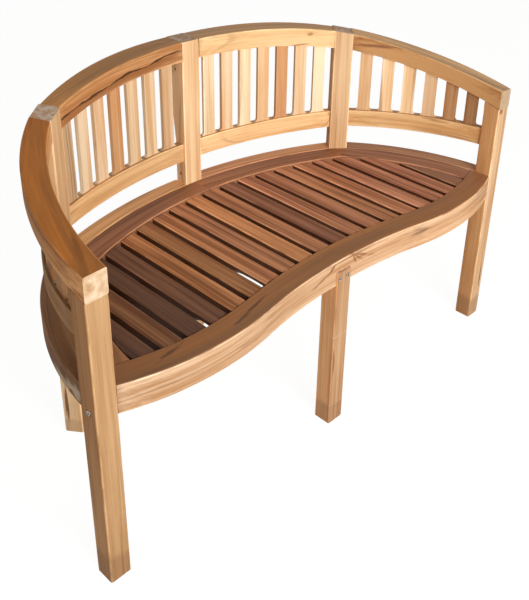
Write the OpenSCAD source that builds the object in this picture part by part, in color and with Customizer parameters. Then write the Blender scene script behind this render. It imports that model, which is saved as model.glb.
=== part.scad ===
// Curved teak garden sofa with six legs, a rail that sweeps from arm to arm,
// slatted back panels and a seat of front-to-back slats in a kidney-shaped frame.
// Right-hand pieces are modelled; the left-hand ones are their mirror images.
// Plan: X to the right, Y to the back, measured from the front legs' front faces.

/* [Overall] */
// Distance between the middles of the two front end legs
leg_span = 1200; // [1120:5:1300]
// Height of the seat frame's top face
seat_h = 443; // [400:1:480]
// Height of the arm rail's top at its front end
arm_h = 676; // [640:1:700]
// Height of the top rail's crest, over the middle back leg
crest_h = 804; // [780:1:850]
// How much lower the top rail is at the corner legs
corner_drop = 36; // [20:1:50]

/* [Plan curve] */
// Depth of the back's front face at the middle
back_depth = 490; // [460:1:520]
// Sideways place of the corner legs
corner_x = 422; // [390:1:450]
// Depth of the corner legs' front faces
corner_y = 387; // [360:1:420]
// How far the front rail bulges in front of the legs
bulge = 38; // [20:1:60]
// Sideways place of the front rail's bulge
bulge_x = 370; // [330:1:410]

/* [Legs] */
// Width of the front legs
leg_w = 44; // [38:1:50]
// Depth of the front legs
leg_d = 44; // [38:1:50]
// Width of the back legs
back_leg_w = 50; // [44:1:60]
// Depth of the corner legs
back_leg_d = 42; // [38:1:48]
// Depth of the middle back leg, up to the lower rail's top
middle_leg_d = 36; // [32:1:42]
// How far the middle front leg stands in front of the rail
middle_leg_step = 5; // [3:0.5:10]
// Height of that leg's ear on the rail's front face
ear_h = 33; // [25:1:45]
// How deep the rail is let back for the ear
ear_let_in = 1; // [0.5:0.5:3]

/* [Back] */
// Height of the top rail's section along the back
top_rail_h = 46; // [36:1:56]
// Height of the arm rail's section at its front end
arm_end_h = 49; // [44:1:56]
// Height of the arm rail's section at the corner legs
arm_corner_h = 44; // [40:1:52]
// How much the arm rail's underside is arched
arm_arch = 4; // [2:0.5:8]
// How much the arm rail swells sideways between its ends
arm_swell = 4; // [2:0.5:8]
// Width of the top rail at the middle of the back
top_rail_middle_w = 60; // [50:1:70]
// Turn of the crest's level lines away from the front-to-back line
crest_turn = 50; // [40:1:60]
// Turn of the arm rail's level lines
arm_turn = 12; // [0:1:20]
// Height of the lower back rail's top face
lower_rail_z = 550; // [530:1:580]
// Height of the lower back rail's section
lower_rail_h = 46; // [36:1:50]
// How much the lower side rail climbs towards the arm
lower_rail_rise = 14; // [0:1:25]
// Thickness of the lower back rail
lower_rail_t = 22; // [18:1:26]
// How far the lower back rail stands behind the legs' front faces
lower_rail_set = 7; // [4:1:10]
// Width of a back slat
back_slat_w = 32; // [24:1:38]
// Thickness of a back slat
back_slat_t = 9; // [7:1:12]
// Slats in each back panel
back_slat_count = 7; // [5:1:8]
// Slats in each side panel
side_slat_count = 6; // [4:1:7]
// How deep a back slat is let into its rails
slat_let_in = 9; // [8:0.5:12]

/* [Seat] */
// Height of the front rail's section
front_rail_h = 62; // [50:1:75]
// Width of the front rail, front to back
front_rail_w = 58; // [50:1:70]
// Height of the seat ring rails between the legs
ring_rail_h = 50; // [46:1:66]
// Thickness of the seat ring rails
ring_rail_t = 42; // [36:1:44]
// Width of the border boards inside the ring rails
border_w = 55; // [45:1:65]
// Thickness of the border boards
border_t = 23; // [18:1:28]
// Radius that rounds the border's inner corners
border_round = 200; // [120:10:260]
// Seat slats, an odd number
seat_slat_count = 19; // [15:2:23]
// Gap between two seat slats
seat_slat_gap = 12; // [5:0.5:15]
// Gap at each end of a seat slat
slat_end_gap = 1.5; // [1:0.5:4]
// How far the seat slats lie below the frame's top face
slat_recess = 2; // [0:0.5:4]
// Width of the ledger boards under the border
ledger_w = 80; // [72:1:90]
// Thickness of the ledger boards and of the cross bearer
ledger_t = 24; // [18:1:30]
// Width of the ledger strip behind the front rail
front_ledger_w = 22; // [16:1:30]
// Width of the cross bearer under the slats
bearer_w = 44; // [30:1:60]
// Depth of the cross bearer's middle line
bearer_y = 235; // [215:1:260]

/* [Joints] */
// Length of the tenons in the legs
tenon_l = 19; // [14:1:21]
// Thickness of the rail tenons
tenon_t = 14; // [10:1:16]
// How much lower than its rail a tenon is, above and below
tenon_shoulder = 11; // [9:1:14]
// Side of the square tenon on a front leg's top
top_tenon = 22; // [16:1:26]
// Height of that tenon
top_tenon_h = 24; // [16:1:30]
// How much shorter the side rails' tenons in the front legs are
front_tenon_less = 3; // [2:0.5:6]
// Wood left between the front rail's tenon and the ring rail's
tenon_wall = 3; // [1.5:0.5:4]
// Clearance round every tenon and let-in slat end
fit = 0.2; // [0.1:0.05:0.4]

/* [Fasteners] */
// Diameter of a bolt's shank
bolt_d = 6; // [5:0.5:8]
// Diameter of a bolt's head
bolt_head_d = 10; // [9:0.5:13]
// Height of a bolt's head
bolt_head_h = 3; // [2:0.5:4]
// Diameter of the recess round a bolt's head
bolt_recess_d = 13.5; // [13.5:0.5:16]
// Depth of that recess
bolt_recess = 2; // [1:0.5:3]
// Distance of the two bolts in the middle leg's ear
bolt_pitch = 25; // [22:1:28]
// Height of the bolts below the seat frame's top
bolt_drop = 45; // [41:1:48]
// Length of a bolt's shank
bolt_l = 40; // [30:1:44]
// Diameter of the plugs in the middle back leg's sides
plug_d = 8; // [6:1:10]
// Depth of the plugs below the leg's face
plug_recess = 1; // [0.5:0.5:2]
// Length of a plug
plug_l = 6; // [4:1:10]
// Height of the lower plugs above the seat
plug_rise = 24; // [16:1:34]
// Depth of the lower plugs behind the leg's front face
plug_in = 21; // [16:1:26]
// Drop of the upper plugs below the crest
plug_drop = 70; // [62:1:80]
// Depth of the upper plugs behind the leg's front face
plug_in_top = 29; // [20:1:34]

/* [Hidden] */
$fn = 240;

// Large enough to reach past the whole sofa, for cutting shapes
big = 2 * leg_span;
// Sideways place of the end legs' inner and outer faces
leg_in = leg_span / 2 - leg_w / 2;
leg_out = leg_span / 2 + leg_w / 2;
corner_h = crest_h - corner_drop;

// Back arc: level at the middle, through the corner point
back_sag = back_depth - corner_y;
back_r = (corner_x * corner_x + back_sag * back_sag) / (2 * back_sag);
back_c = [0, back_depth - back_r];
back_turn = asin(corner_x / back_r);
// Side arc: through the corner point, straight to the front at the arm
side_sag = leg_in - corner_x;
side_r = (side_sag * side_sag + corner_y * corner_y) / (2 * side_sag);
side_c = [leg_in - side_r, 0];
side_turn = acos(corner_y / side_r);
// The corner leg stands square to the mean of the two directions
corner_turn = (back_turn + side_turn) / 2;
kink = (side_turn - back_turn) / 2;
corner_set = back_leg_w / 2 * sin(kink) + pow(back_leg_w / 2, 2) / (back_r + side_r);

// Front rail: a hollow middle arc and a bulging outer arc, tangent to each other
bulge_run = leg_in - bulge_x;
bulge_r = (bulge_run * bulge_run + bulge * bulge) / (2 * bulge);
hollow_r = (bulge_x * bulge_x + bulge * bulge) / (2 * bulge) - bulge_r;
hollow_c = [0, -hollow_r];
bulge_c = [bulge_x, bulge_r - bulge];
turn_x = bulge_x * hollow_r / (hollow_r + bulge_r);

// Crest: a wide level cylinder that falls from the middle to the corner legs
crest_run = corner_x * cos(crest_turn) + back_sag * sin(crest_turn);
crest_fall = crest_h - corner_h;
crest_r = (crest_run * crest_run + crest_fall * crest_fall) / (2 * crest_fall);
arm_run = side_sag * sin(arm_turn) + corner_y * cos(arm_turn);
// Underside of the arm rail: an arc over the line between its two end heights
arch_front = arm_h - arm_end_h;
arch_corner = corner_h - arm_corner_h;
arch_chord = norm([arm_run, arch_corner - arch_front]);
arch_r = (arch_chord * arch_chord / 4 + arm_arch * arm_arch) / (2 * arm_arch);
arch_tilt = atan((arch_corner - arch_front) / arm_run);
arch_c = [
  arm_run / 2 + (arch_r - arm_arch) * sin(arch_tilt),
  (arch_front + arch_corner) / 2 - (arch_r - arm_arch) * cos(arch_tilt)
];

// Seat slats fill the well between the side borders
slat_pitch = 2 * (leg_in - border_w) / seat_slat_count;
slat_w = slat_pitch - seat_slat_gap;
slat_t = border_t - slat_recess;
ledger_z = seat_h - border_t - ledger_t;

// Depth of the whole sofa, so that the origin is under its middle
back_reach = back_depth + top_rail_middle_w;
plan_middle = (back_reach - bulge) / 2;

teak = [0.78, 0.55, 0.33];
pale_teak = [0.86, 0.66, 0.42];
seat_teak = [0.50, 0.32, 0.22];
steel = [0.75, 0.75, 0.74];

// Height of the crest surface over a plan point, and of a side surface that is
// front_z high at the arm's front end and corner_z high at the corner
function crest_run_at(p) = p[0] * cos(crest_turn) + (back_depth - p[1]) * sin(crest_turn);
function crest_z(p) = crest_h - crest_r + sqrt(crest_r * crest_r - pow(crest_run_at(p), 2));
function side_z(p, front_z, corner_z) = front_z
  + (corner_z - front_z) * ((leg_in - p[0]) * sin(arm_turn) + p[1] * cos(arm_turn)) / arm_run;
function arch_z(p) =
  let (run = (leg_in - p[0]) * sin(arm_turn) + p[1] * cos(arm_turn))
  arch_c[1] + sqrt(arch_r * arch_r - pow(run - arch_c[0], 2));
// Plan point on an arc about c, at radius r and a turn from the back direction
function on_arc(c, r, turn) = [c[0] + r * sin(turn), c[1] + r * cos(turn)];
// Plan point in the corner leg's own directions: along its face and outwards
function at_corner(a, o) = [
  corner_x + a * cos(corner_turn) + (o - corner_set) * sin(corner_turn),
  corner_y - a * sin(corner_turn) + (o - corner_set) * cos(corner_turn)
];
// Middle of the circle through three points
function middle_of(a, b, c) =
  let (
    d = 2 * (a[0] * (b[1] - c[1]) + b[0] * (c[1] - a[1]) + c[0] * (a[1] - b[1])),
    x = (a * a) * (b[1] - c[1]) + (b * b) * (c[1] - a[1]) + (c * c) * (a[1] - b[1]),
    y = (a * a) * (c[0] - b[0]) + (b * b) * (a[0] - c[0]) + (c * c) * (b[0] - a[0])
  ) [x / d, y / d];
// Upper meeting point of two circles
function meet(p, rp, q, rq) =
  let (
    d = norm(q - p),
    u = (q - p) / d,
    a = (d * d + rp * rp - rq * rq) / (2 * d),
    h = sqrt(rp * rp - a * a)
  ) p + a * u + h * [-u[1], u[0]] * (u[0] >= 0 ? 1 : -1);

module place() {
  translate([0, -plan_middle, 0]) children();
}

module left() {
  mirror([1, 0, 0]) children();
}

module corner_frame() {
  translate([corner_x, corner_y, 0]) rotate(-corner_turn) translate([0, -corner_set, 0]) children();
}

// Plan areas on the corner leg's two sides, with reach along its face
module before_corner(reach) {
  corner_frame() translate([-reach - big, -big / 2]) square([big, big]);
}

module after_corner(reach) {
  corner_frame() translate([reach, -big / 2]) square([big, big]);
}

module right_of(x) {
  translate([x, -big / 2]) square([big, big]);
}

module behind(y) {
  translate([-big / 2, y]) square([big, big]);
}

module ring(c, r, inner, outer) {
  translate(c) difference() {
    circle(r = r + outer);
    circle(r = r + inner);
  }
}

// Plan of a back rail between the middle leg and the corner leg
module back_bay(inner, outer) {
  intersection() {
    ring(back_c, back_r, inner, outer);
    right_of(back_leg_w / 2);
    before_corner(back_leg_w / 2);
  }
}

// Plan of a side rail between the corner leg and the depth front_y
module side_bay(inner, outer, front_y) {
  intersection() {
    ring(side_c, side_r, inner, outer);
    behind(front_y);
    after_corner(back_leg_w / 2);
  }
}

// Everything under the crest surface, lowered by drop
module under_crest(drop) {
  translate([0, back_depth, crest_h - drop - crest_r]) rotate([0, 0, -crest_turn]) rotate([90, 0, 0])
    cylinder(r = crest_r, h = big, center = true, $fn = 720);
}

// Everything under a side surface, given by its heights at the arm and corner
module under_side(front_z, corner_z) {
  tilt = atan((corner_z - front_z) / arm_run);
  translate([leg_in, 0, front_z]) rotate([0, 0, arm_turn]) rotate([tilt, 0, 0])
    translate([-big / 2, -big / 2, -big]) cube([big, big, big]);
}

// Everything under the arm rail's arched underside
module under_arch() {
  translate([leg_in, 0, 0]) rotate([0, 0, arm_turn]) translate([0, arch_c[0], arch_c[1]]) rotate([0, 90, 0])
    cylinder(r = arch_r, h = big, center = true, $fn = 1440);
}

// A tenon that runs into the leg's side, in that leg's own directions.
// face is where the leg's side lies and way the direction into the leg.
module tenon(face, way, out, z, h, grow, less = 0) {
  depth = tenon_l - less + (grow > 0 ? 1 : 0);
  root = grow > 0 ? 0 : 8;
  x = way > 0 ? face - root : face - depth;
  translate([x, out - tenon_t / 2 - grow, z - h / 2 - grow])
    cube([depth + root, tenon_t + 2 * grow, h + 2 * grow]);
}

// Tenons of a back rail: one in the middle leg, one in the corner leg
module back_tenons(out, z_middle, z_corner, h, grow) {
  translate([0, back_depth, 0]) tenon(back_leg_w / 2, -1, out, z_middle, h, grow);
  corner_frame() tenon(-back_leg_w / 2, 1, out, z_corner, h, grow);
}

// Tenon of a side rail in the corner leg
module side_tenon(out, z, h, grow) {
  corner_frame() tenon(back_leg_w / 2, -1, out, z, h, grow);
}

// Tenon of a side rail in the front leg's back face
module front_tenon(out, z, h, grow) {
  translate([leg_in, leg_d, 0]) rotate(-90) tenon(0, 1, out, z, h, grow, front_tenon_less);
}

// Heights of the rails' middle lines where they meet the legs
top_out = back_leg_d / 2;
top_z_middle = crest_h - top_rail_h / 2;
top_z_back = crest_z(at_corner(-back_leg_w / 2, 0)) - top_rail_h / 2;
side_end = at_corner(back_leg_w / 2, 0);
top_z_side = (side_z(side_end, arm_h, corner_h) + arch_z(side_end)) / 2;
top_tenon_rail_h = top_rail_h - 2 * tenon_shoulder;
low_out = lower_rail_set + lower_rail_t / 2;
low_z = lower_rail_z - lower_rail_h / 2;
low_z_front = side_z([leg_in, leg_d], low_z + lower_rail_rise, low_z);
low_tenon_h = lower_rail_h - 2 * tenon_shoulder;
ring_out = ring_rail_t / 2;
ring_z = seat_h - ring_rail_h / 2;
ring_tenon_h = ring_rail_h - 2 * tenon_shoulder;
front_z = seat_h - front_rail_h / 2;
front_tenon_h = front_rail_h - 2 * tenon_shoulder;
front_tenon_y = leg_d / 2 - 1;
front_tenon_l = ring_out - tenon_t / 2 - tenon_wall;

module front_rail_tenon(grow) {
  depth = front_tenon_l + (grow > 0 ? 1 : 0);
  root = grow > 0 ? 0 : 10;
  translate([leg_in - root, front_tenon_y - tenon_t / 2 - grow, front_z - front_tenon_h / 2 - grow])
    cube([depth + root, tenon_t + 2 * grow, front_tenon_h + 2 * grow]);
}

module top_tenon(grow) {
  root = 30;
  translate([leg_in + leg_w / 2 - top_tenon / 2 - grow, leg_d / 2 - top_tenon / 2 - grow, arch_front - root])
    cube([top_tenon + 2 * grow, top_tenon + 2 * grow, root + top_tenon_h + grow]);
}

// Bolts: each lies along its own X axis, head first, and its hole is a little wider
module bolt() {
  rotate([0, 90, 0]) {
    cylinder(d = bolt_d, h = bolt_recess + bolt_l, $fn = 48);
    translate([0, 0, bolt_recess - bolt_head_h]) cylinder(d = bolt_head_d, h = bolt_head_h, $fn = 48);
  }
}

module bolt_hole() {
  rotate([0, 90, 0]) {
    cylinder(d = bolt_d + 2 * fit, h = bolt_recess + bolt_l + 1, $fn = 48);
    translate([0, 0, -1]) cylinder(d = bolt_recess_d, h = bolt_recess + 1, $fn = 48);
  }
}

module at_side_bolt() {
  translate([leg_out, front_tenon_y, seat_h - bolt_drop]) rotate(180) children();
}

module at_middle_bolts() {
  for (s = [-1, 1])
    translate([s * bolt_pitch / 2, -middle_leg_step, seat_h - bolt_drop]) rotate(90) children();
}

// Plug places on the right face of the middle back leg
module at_plugs() {
  for (place = [[plug_in, seat_h + plug_rise], [plug_in_top, crest_h - plug_drop]])
    translate([back_leg_w / 2, back_depth + place[0], place[1]]) rotate([0, -90, 0]) children();
}

module leg_front() {
  color(teak) difference() {
    union() {
      intersection() {
        translate([leg_in, 0, 0]) cube([leg_w, leg_d, arm_h]);
        under_arch();
      }
      top_tenon(0);
    }
    front_rail_tenon(fit);
    front_tenon(ring_out, ring_z, ring_tenon_h, fit);
    front_tenon(low_out, low_z_front, low_tenon_h, fit);
    at_side_bolt() bolt_hole();
  }
}

// The ear stands before the rail and is drawn to it by two bolts; a stub tenon
// goes up into the joint of the two half rails
module leg_front_middle() {
  color(teak) difference() {
    union() {
      translate([-leg_w / 2, -middle_leg_step, 0]) cube([leg_w, leg_d, seat_h - front_rail_h]);
      translate([-leg_w / 2, -middle_leg_step, 0])
        cube([leg_w, middle_leg_step + ear_let_in, seat_h - front_rail_h + ear_h]);
      middle_tenon(0);
    }
    at_middle_bolts() bolt_hole();
  }
}

module middle_tenon(grow) {
  translate([-tenon_t / 2 - grow, front_tenon_y - grow, seat_h - front_rail_h - 10])
    cube([tenon_t + 2 * grow, tenon_t + 2 * grow, 10 + tenon_l + grow]);
}

module leg_back_corner() {
  z_in_back = crest_z(at_corner(-back_leg_w / 2, 0));
  z_in_side = side_z(at_corner(back_leg_w / 2, 0), arm_h, corner_h);
  z_out_back = crest_z(at_corner(-back_leg_w / 2, back_leg_d));
  z_out_side = side_z(at_corner(back_leg_w / 2, back_leg_d), arm_h, corner_h);
  slope_along = (z_in_side - z_in_back) / back_leg_w;
  slope_out = (z_out_back + z_out_side - z_in_back - z_in_side) / 2 / back_leg_d;
  lean_y = -atan(slope_along);
  lean_x = atan(slope_out * cos(lean_y));
  color(teak) difference() {
    corner_frame() intersection() {
      translate([-back_leg_w / 2, 0, 0]) cube([back_leg_w, back_leg_d, crest_h]);
      translate([0, 0, (z_in_back + z_in_side) / 2]) rotate([lean_x, lean_y, 0])
        translate([-big / 2, -big / 2, -big]) cube([big, big, big]);
    }
    back_tenons(top_out, top_z_middle, top_z_back, top_tenon_rail_h, fit);
    back_tenons(low_out, low_z, low_z, low_tenon_h, fit);
    back_tenons(ring_out, ring_z, ring_z, ring_tenon_h, fit);
    side_tenon(top_out, top_z_side, top_tenon_rail_h, fit);
    side_tenon(low_out, low_z, low_tenon_h, fit);
    side_tenon(ring_out, ring_z, ring_tenon_h, fit);
  }
}

// The middle back leg grows deeper from the lower rail up to the top rail,
// where its back is flush with the rail's outer edge
module leg_back_middle() {
  top_d = wide_c[1] + sqrt(wide_r * wide_r - pow(back_leg_w / 2, 2)) - back_depth;
  color(teak) difference() {
    translate([0, back_depth, 0]) rotate([90, 0, 90])
      linear_extrude(height = back_leg_w, center = true) polygon([
      [0, 0],
      [middle_leg_d, 0],
      [middle_leg_d, lower_rail_z],
      [top_d, crest_h - top_rail_h],
      [top_d, crest_h],
      [0, crest_h]
    ]);
    for (side = [0, 1]) mirror([side, 0, 0]) {
      back_tenons(top_out, top_z_middle, top_z_back, top_tenon_rail_h, fit);
      back_tenons(low_out, low_z, low_z, low_tenon_h, fit);
      back_tenons(ring_out, ring_z, ring_z, ring_tenon_h, fit);
      at_plugs() translate([0, 0, -1]) cylinder(d = plug_d, h = 1 + plug_recess + plug_l, $fn = 48);
    }
  }
}

// Outer edge of the top rail: flush with the legs, wider at the middle of the back
// and swollen a little along the arms
wide_end = at_corner(-back_leg_w / 2, back_leg_d);
wide_sag = back_depth + top_rail_middle_w - wide_end[1];
wide_r = (wide_end[0] * wide_end[0] + wide_sag * wide_sag) / (2 * wide_sag);
wide_c = [0, back_depth + top_rail_middle_w - wide_r];
arm_c = middle_of(
  [leg_out, 0],
  on_arc(side_c, side_r + leg_w + arm_swell, (side_turn + 90) / 2),
  at_corner(back_leg_w / 2, back_leg_d)
);
arm_r = norm([leg_out, 0] - arm_c);

module top_rail_back_plan() {
  intersection() {
    difference() {
      translate(wide_c) circle(r = wide_r);
      translate(back_c) circle(r = back_r);
    }
    behind(0);
    right_of(back_leg_w / 2);
    before_corner(back_leg_w / 2);
  }
}

module top_rail_back() {
  color(teak) difference() {
    union() {
      difference() {
        intersection() {
          linear_extrude(height = crest_h + 10) top_rail_back_plan();
          under_crest(0);
        }
        under_crest(top_rail_h);
      }
      back_tenons(top_out, top_z_middle, top_z_back, top_tenon_rail_h, 0);
    }
    back_panel(fit);
  }
}

module top_rail_side_plan() {
  intersection() {
    difference() {
      translate(arm_c) circle(r = arm_r);
      translate(side_c) circle(r = side_r);
    }
    behind(0);
    after_corner(back_leg_w / 2);
  }
}

module top_rail_side() {
  color(teak) difference() {
    union() {
      difference() {
        intersection() {
          linear_extrude(height = crest_h + 10) top_rail_side_plan();
          under_side(arm_h, corner_h);
        }
        under_arch();
      }
      side_tenon(top_out, top_z_side, top_tenon_rail_h, 0);
    }
    side_panel(fit);
    top_tenon(fit);
  }
}

module lower_rail_back() {
  color(pale_teak) difference() {
    union() {
      translate([0, 0, lower_rail_z - lower_rail_h]) linear_extrude(height = lower_rail_h)
        back_bay(lower_rail_set, lower_rail_set + lower_rail_t);
      back_tenons(low_out, low_z, low_z, low_tenon_h, 0);
    }
    back_panel(fit);
  }
}

module lower_rail_side() {
  low_top = lower_rail_z + lower_rail_rise;
  color(pale_teak) difference() {
    union() {
      difference() {
        intersection() {
          linear_extrude(height = arm_h) side_bay(lower_rail_set, lower_rail_set + lower_rail_t, leg_d);
          under_side(low_top, lower_rail_z);
        }
        under_side(low_top - lower_rail_h, lower_rail_z - lower_rail_h);
      }
      side_tenon(low_out, low_z, low_tenon_h, 0);
      front_tenon(low_out, low_z_front, low_tenon_h, 0);
    }
    side_panel(fit);
  }
}

// One upright slat on an arc, between two heights
module upright(c, r, turn, low, high, grow) {
  translate([c[0], c[1], low]) rotate(-turn)
    translate([-back_slat_w / 2 - grow, r - back_slat_t / 2 - grow, 0])
      cube([back_slat_w + 2 * grow, back_slat_t + 2 * grow, high - low + grow]);
}

// Turns of the slats in a bay: equal gaps between the two faces that end it
function slat_turns(first, last, r, count) =
  let (
    half = back_slat_w / r * 90 / PI,
    gap = (last - first - 2 * half * count) / (count + 1)
  ) [for (i = [0:count - 1]) first + gap * (i + 1) + half * (2 * i + 1)];

// Turn from the corner point to the corner leg's side, on an arc that lies out from the face
function corner_cut(out, r) = (back_leg_w / 2 / cos(kink) - out * tan(kink)) / r * 180 / PI;

module back_panel(grow) {
  r = back_r + low_out;
  first = asin(back_leg_w / 2 / r);
  last = back_turn - corner_cut(low_out, r);
  for (turn = slat_turns(first, last, r, back_slat_count)) {
    p = on_arc(back_c, r, turn);
    upright(back_c, r, turn, lower_rail_z - slat_let_in, crest_z(p) - top_rail_h + slat_let_in, grow);
  }
}

module side_panel(grow) {
  r = side_r + low_out;
  first = side_turn + corner_cut(low_out, r);
  last = acos(leg_d / r);
  for (turn = slat_turns(first, last, r, side_slat_count)) {
    p = on_arc(side_c, r, turn);
    low = side_z(p, lower_rail_z + lower_rail_rise, lower_rail_z) - slat_let_in;
    high = arch_z(p) + slat_let_in;
    upright(side_c, r, turn, low, high, grow);
  }
}

module back_slats() {
  color(pale_teak) back_panel(0);
}

module side_slats() {
  color(pale_teak) side_panel(0);
}

// Plan between the front rail's front curve moved back by near and by far
module front_band(near, far) {
  intersection() {
    difference() {
      translate([0, far]) translate(hollow_c) circle(r = hollow_r);
      translate([0, near]) translate(hollow_c) circle(r = hollow_r);
    }
    translate([0, near - 2 * bulge]) square([turn_x, far - near + 4 * bulge]);
  }
  intersection() {
    difference() {
      translate([0, near]) translate(bulge_c) circle(r = bulge_r);
      translate([0, far]) translate(bulge_c) circle(r = bulge_r);
    }
    translate([turn_x, near - 2 * bulge]) square([leg_in - turn_x, far - near + 4 * bulge]);
  }
}

module seat_front_rail() {
  color(teak) difference() {
    union() {
      translate([0, 0, seat_h - front_rail_h]) linear_extrude(height = front_rail_h)
        front_band(0, front_rail_w);
      front_rail_tenon(0);
    }
    translate([-leg_w / 2, -leg_d, seat_h - front_rail_h - 1]) cube([leg_w, leg_d + ear_let_in, ear_h + 1]);
    middle_tenon(fit);
    at_middle_bolts() bolt_hole();
    at_side_bolt() bolt_hole();
  }
}

module seat_ring_back() {
  color(seat_teak) {
    translate([0, 0, seat_h - ring_rail_h]) linear_extrude(height = ring_rail_h) back_bay(0, ring_rail_t);
    back_tenons(ring_out, ring_z, ring_z, ring_tenon_h, 0);
  }
}

module seat_ring_side() {
  color(seat_teak) {
    translate([0, 0, seat_h - ring_rail_h]) linear_extrude(height = ring_rail_h)
      side_bay(0, ring_rail_t, leg_d);
    side_tenon(ring_out, ring_z, ring_tenon_h, 0);
    front_tenon(ring_out, ring_z, ring_tenon_h, 0);
  }
}

// Plan inside both arcs, moved inwards by inset, and right of the middle. The side
// arc bounds it from a little before the corner leg on.
module inside_arcs(inset) {
  intersection() {
    translate(back_c) circle(r = back_r - inset);
    union() {
      translate(side_c) circle(r = side_r - inset);
      before_corner(back_leg_w);
    }
    right_of(0);
    behind(0);
  }
}

// The small piece that fills the border's inner corner to a round
module corner_fill(inset) {
  f = meet(side_c, side_r - inset - border_round, back_c, back_r - inset - border_round);
  t = back_c + (f - back_c) * (back_r - inset) / norm(f - back_c);
  s = side_c + (f - side_c) * (side_r - inset) / norm(f - side_c);
  half = asin(norm(t - s) / 2 / border_round);
  tip = f + (t + s - 2 * f) / norm(t + s - 2 * f) * border_round / cos(half);
  difference() {
    polygon([t, tip, s]);
    translate(f) circle(r = border_round);
  }
}

// Plan behind the front rail's back curve, moved back by inset
module behind_front(inset) {
  difference() {
    translate([0, -bulge]) square([turn_x, back_reach]);
    translate([0, front_rail_w + inset]) translate(hollow_c) circle(r = hollow_r);
  }
  intersection() {
    translate([turn_x, -bulge]) square([leg_out, back_reach]);
    translate([0, front_rail_w + inset]) translate(bulge_c) circle(r = bulge_r);
  }
}

// Right half of the well that the seat slats lie in
module well_half(inset) {
  difference() {
    intersection() {
      inside_arcs(border_w + inset);
      behind_front(inset);
    }
    corner_fill(border_w + inset);
  }
}

module leg_footprints() {
  corner_frame() translate([-back_leg_w / 2 - fit, -fit]) square([back_leg_w + 2 * fit, back_leg_d]);
}

// Plan of a border or ledger board, from the arcs inwards by width
module board_plan(width) {
  difference() {
    intersection() {
      inside_arcs(0);
      behind_front(0);
    }
    inside_arcs(width);
    leg_footprints();
  }
}

module border_plan() {
  board_plan(border_w);
  intersection() {
    corner_fill(border_w);
    inside_arcs(border_w - 1);
  }
}

module border_back() {
  color(seat_teak) translate([0, 0, seat_h - border_t]) linear_extrude(height = border_t) intersection() {
    border_plan();
    before_corner(0);
  }
}

module border_side() {
  color(seat_teak) translate([0, 0, seat_h - border_t]) linear_extrude(height = border_t) intersection() {
    border_plan();
    after_corner(0);
  }
}

module ledger_back() {
  color(seat_teak) translate([0, 0, ledger_z]) linear_extrude(height = ledger_t) intersection() {
    board_plan(ledger_w);
    before_corner(0);
  }
}

module ledger_side() {
  color(seat_teak) difference() {
    translate([0, 0, ledger_z]) linear_extrude(height = ledger_t) intersection() {
      board_plan(ledger_w);
      after_corner(0);
    }
    bearer_stub(fit);
  }
}

module ledger_front() {
  color(seat_teak) translate([0, 0, ledger_z]) linear_extrude(height = ledger_t) intersection() {
    front_band(front_rail_w, front_rail_w + front_ledger_w);
    inside_arcs(ledger_w);
  }
}

// The bearer butts on the side ledgers and has a stub tenon in each
bearer_end = side_c[0] + sqrt(pow(side_r - ledger_w, 2) - pow(bearer_y, 2));

module bearer_stub(grow) {
  translate([bearer_end - 20, bearer_y - tenon_t / 2 - grow, ledger_z + ledger_t / 2 - 5 - grow])
    cube([20 + tenon_l + grow, tenon_t + 2 * grow, 10 + 2 * grow]);
}

module bearer_half() {
  translate([0, 0, ledger_z]) linear_extrude(height = ledger_t) intersection() {
    translate([0, bearer_y - bearer_w / 2]) square([leg_in, bearer_w]);
    inside_arcs(ledger_w);
  }
  bearer_stub(0);
}

module cross_bearer() {
  color(seat_teak) {
    bearer_half();
    left() bearer_half();
  }
}

module seat_slat(place_no) {
  k = place_no - (seat_slat_count + 1) / 2;
  color(seat_teak) translate([0, 0, seat_h - border_t]) linear_extrude(height = slat_t) intersection() {
    union() {
      well_half(slat_end_gap);
      left() well_half(slat_end_gap);
    }
    translate([k * slat_pitch - slat_w / 2, -big / 2]) square([slat_w, big]);
  }
}

module leg_bolts() {
  color(steel) for (side = [0, 1]) mirror([side, 0, 0]) at_side_bolt() bolt();
}

module middle_leg_bolts() {
  color(steel) at_middle_bolts() bolt();
}

module leg_plugs() {
  color(teak) for (side = [0, 1]) mirror([side, 0, 0])
    at_plugs() translate([0, 0, plug_recess]) cylinder(d = plug_d, h = plug_l, $fn = 48);
}

place() left() leg_front();  // leg_front_left
place() leg_front_middle();
place() leg_front();  // leg_front_right
place() left() leg_back_corner();  // leg_back_left
place() leg_back_middle();
place() leg_back_corner();  // leg_back_right
place() left() top_rail_side();  // top_rail_side_left
place() left() top_rail_back();  // top_rail_back_left
place() top_rail_back();  // top_rail_back_right
place() top_rail_side();  // top_rail_side_right
place() left() lower_rail_side();  // lower_rail_side_left
place() left() lower_rail_back();  // lower_rail_back_left
place() lower_rail_back();  // lower_rail_back_right
place() lower_rail_side();  // lower_rail_side_right
place() left() side_slats();  // side_slats_left
place() left() back_slats();  // back_slats_left
place() back_slats();  // back_slats_right
place() side_slats();  // side_slats_right
place() left() seat_front_rail();  // seat_front_rail_left
place() seat_front_rail();  // seat_front_rail_right
place() left() seat_ring_side();  // seat_ring_side_left
place() left() seat_ring_back();  // seat_ring_back_left
place() seat_ring_back();  // seat_ring_back_right
place() seat_ring_side();  // seat_ring_side_right
place() left() border_side();  // border_side_left
place() left() border_back();  // border_back_left
place() border_back();  // border_back_right
place() border_side();  // border_side_right
place() left() ledger_side();  // ledger_side_left
place() left() ledger_back();  // ledger_back_left
place() ledger_back();  // ledger_back_right
place() ledger_side();  // ledger_side_right
place() left() ledger_front();  // ledger_front_left
place() ledger_front();  // ledger_front_right
place() cross_bearer();
place() leg_bolts();
place() middle_leg_bolts();
place() leg_plugs();
for (i = [1:seat_slat_count])
  place() seat_slat(i);
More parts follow.
